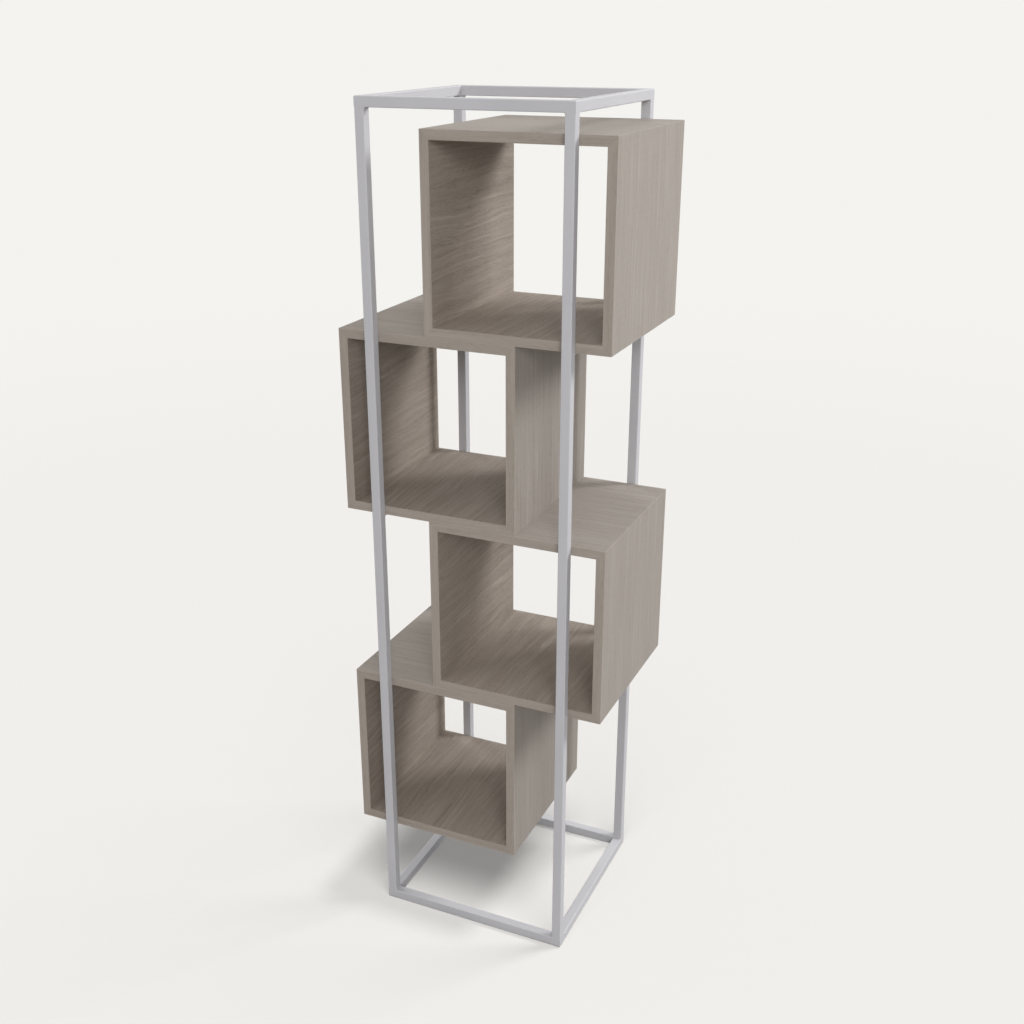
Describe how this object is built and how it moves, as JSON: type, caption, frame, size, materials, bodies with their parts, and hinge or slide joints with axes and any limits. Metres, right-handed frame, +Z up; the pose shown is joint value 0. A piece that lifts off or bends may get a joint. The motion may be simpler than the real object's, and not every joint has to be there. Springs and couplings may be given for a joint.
{
  "type": "cube bookcase",
  "caption": "Tall open bookcase: a slim square-tube steel cage holds a zigzag stack of open veneered cubes, set alternately to the right and left, for books and objects.",
  "frame": {"origin": "on the floor, under the middle of the cage", "axes": "+X to the right seen from the front, +Y from front to back, +Z up"},
  "size_m": [0.57, 0.421, 1.77],
  "materials": {
    "oak_veneer": "greige oak veneer, matt",
    "edge_band": "greige oak edge band, matt",
    "tongue_wood": "plain plywood",
    "frame_paint": "silver grey powder coat, satin",
    "screw_steel": "zinc plated",
    "glide_plastic": "grey, matt"
  },
  "bodies": {
    "root": {"bottom_rail_front": "frame_paint", "bottom_rail_left": "frame_paint", "bottom_rail_rear": "frame_paint", "bottom_rail_right": "frame_paint", "cube_1_bottom": "oak_veneer", "cube_1_edge_bands": "edge_band", "cube_1_left": "oak_veneer", "cube_1_mitre_tongues": "tongue_wood", "cube_1_right": "oak_veneer", "cube_1_tab_front": "frame_paint", "cube_1_tab_rear": "frame_paint", "cube_1_tab_screws": "screw_steel", "cube_1_top": "oak_veneer", "cube_2_bottom": "oak_veneer", "cube_2_edge_bands": "edge_band", "cube_2_left": "oak_veneer", "cube_2_mitre_tongues": "tongue_wood", "cube_2_right": "oak_veneer", "cube_2_tab_front": "frame_paint", "cube_2_tab_rear": "frame_paint", "cube_2_tab_screws": "screw_steel", "cube_2_top": "oak_veneer", "cube_3_bottom": "oak_veneer", "cube_3_edge_bands": "edge_band", "cube_3_left": "oak_veneer", "cube_3_mitre_tongues": "tongue_wood", "cube_3_right": "oak_veneer", "cube_3_tab_front": "frame_paint", "cube_3_tab_rear": "frame_paint", "cube_3_tab_screws": "screw_steel", "cube_3_top": "oak_veneer", "cube_4_bottom": "oak_veneer", "cube_4_edge_bands": "edge_band", "cube_4_left": "oak_veneer", "cube_4_mitre_tongues": "tongue_wood", "cube_4_right": "oak_veneer", "cube_4_tab_front": "frame_paint", "cube_4_tab_rear": "frame_paint", "cube_4_tab_screws": "screw_steel", "cube_4_top": "oak_veneer", "glide_front_left": "glide_plastic", "glide_front_right": "glide_plastic", "glide_rear_left": "glide_plastic", "glide_rear_right": "glide_plastic", "joining_screws_1_2": "screw_steel", "joining_screws_2_3": "screw_steel", "joining_screws_3_4": "screw_steel", "post_front_left": "frame_paint", "post_front_right": "frame_paint", "post_rear_left": "frame_paint", "post_rear_right": "frame_paint", "top_rail_front": "frame_paint", "top_rail_left": "frame_paint", "top_rail_rear": "frame_paint", "top_rail_right": "frame_paint"}
  },
  "joints": []
}
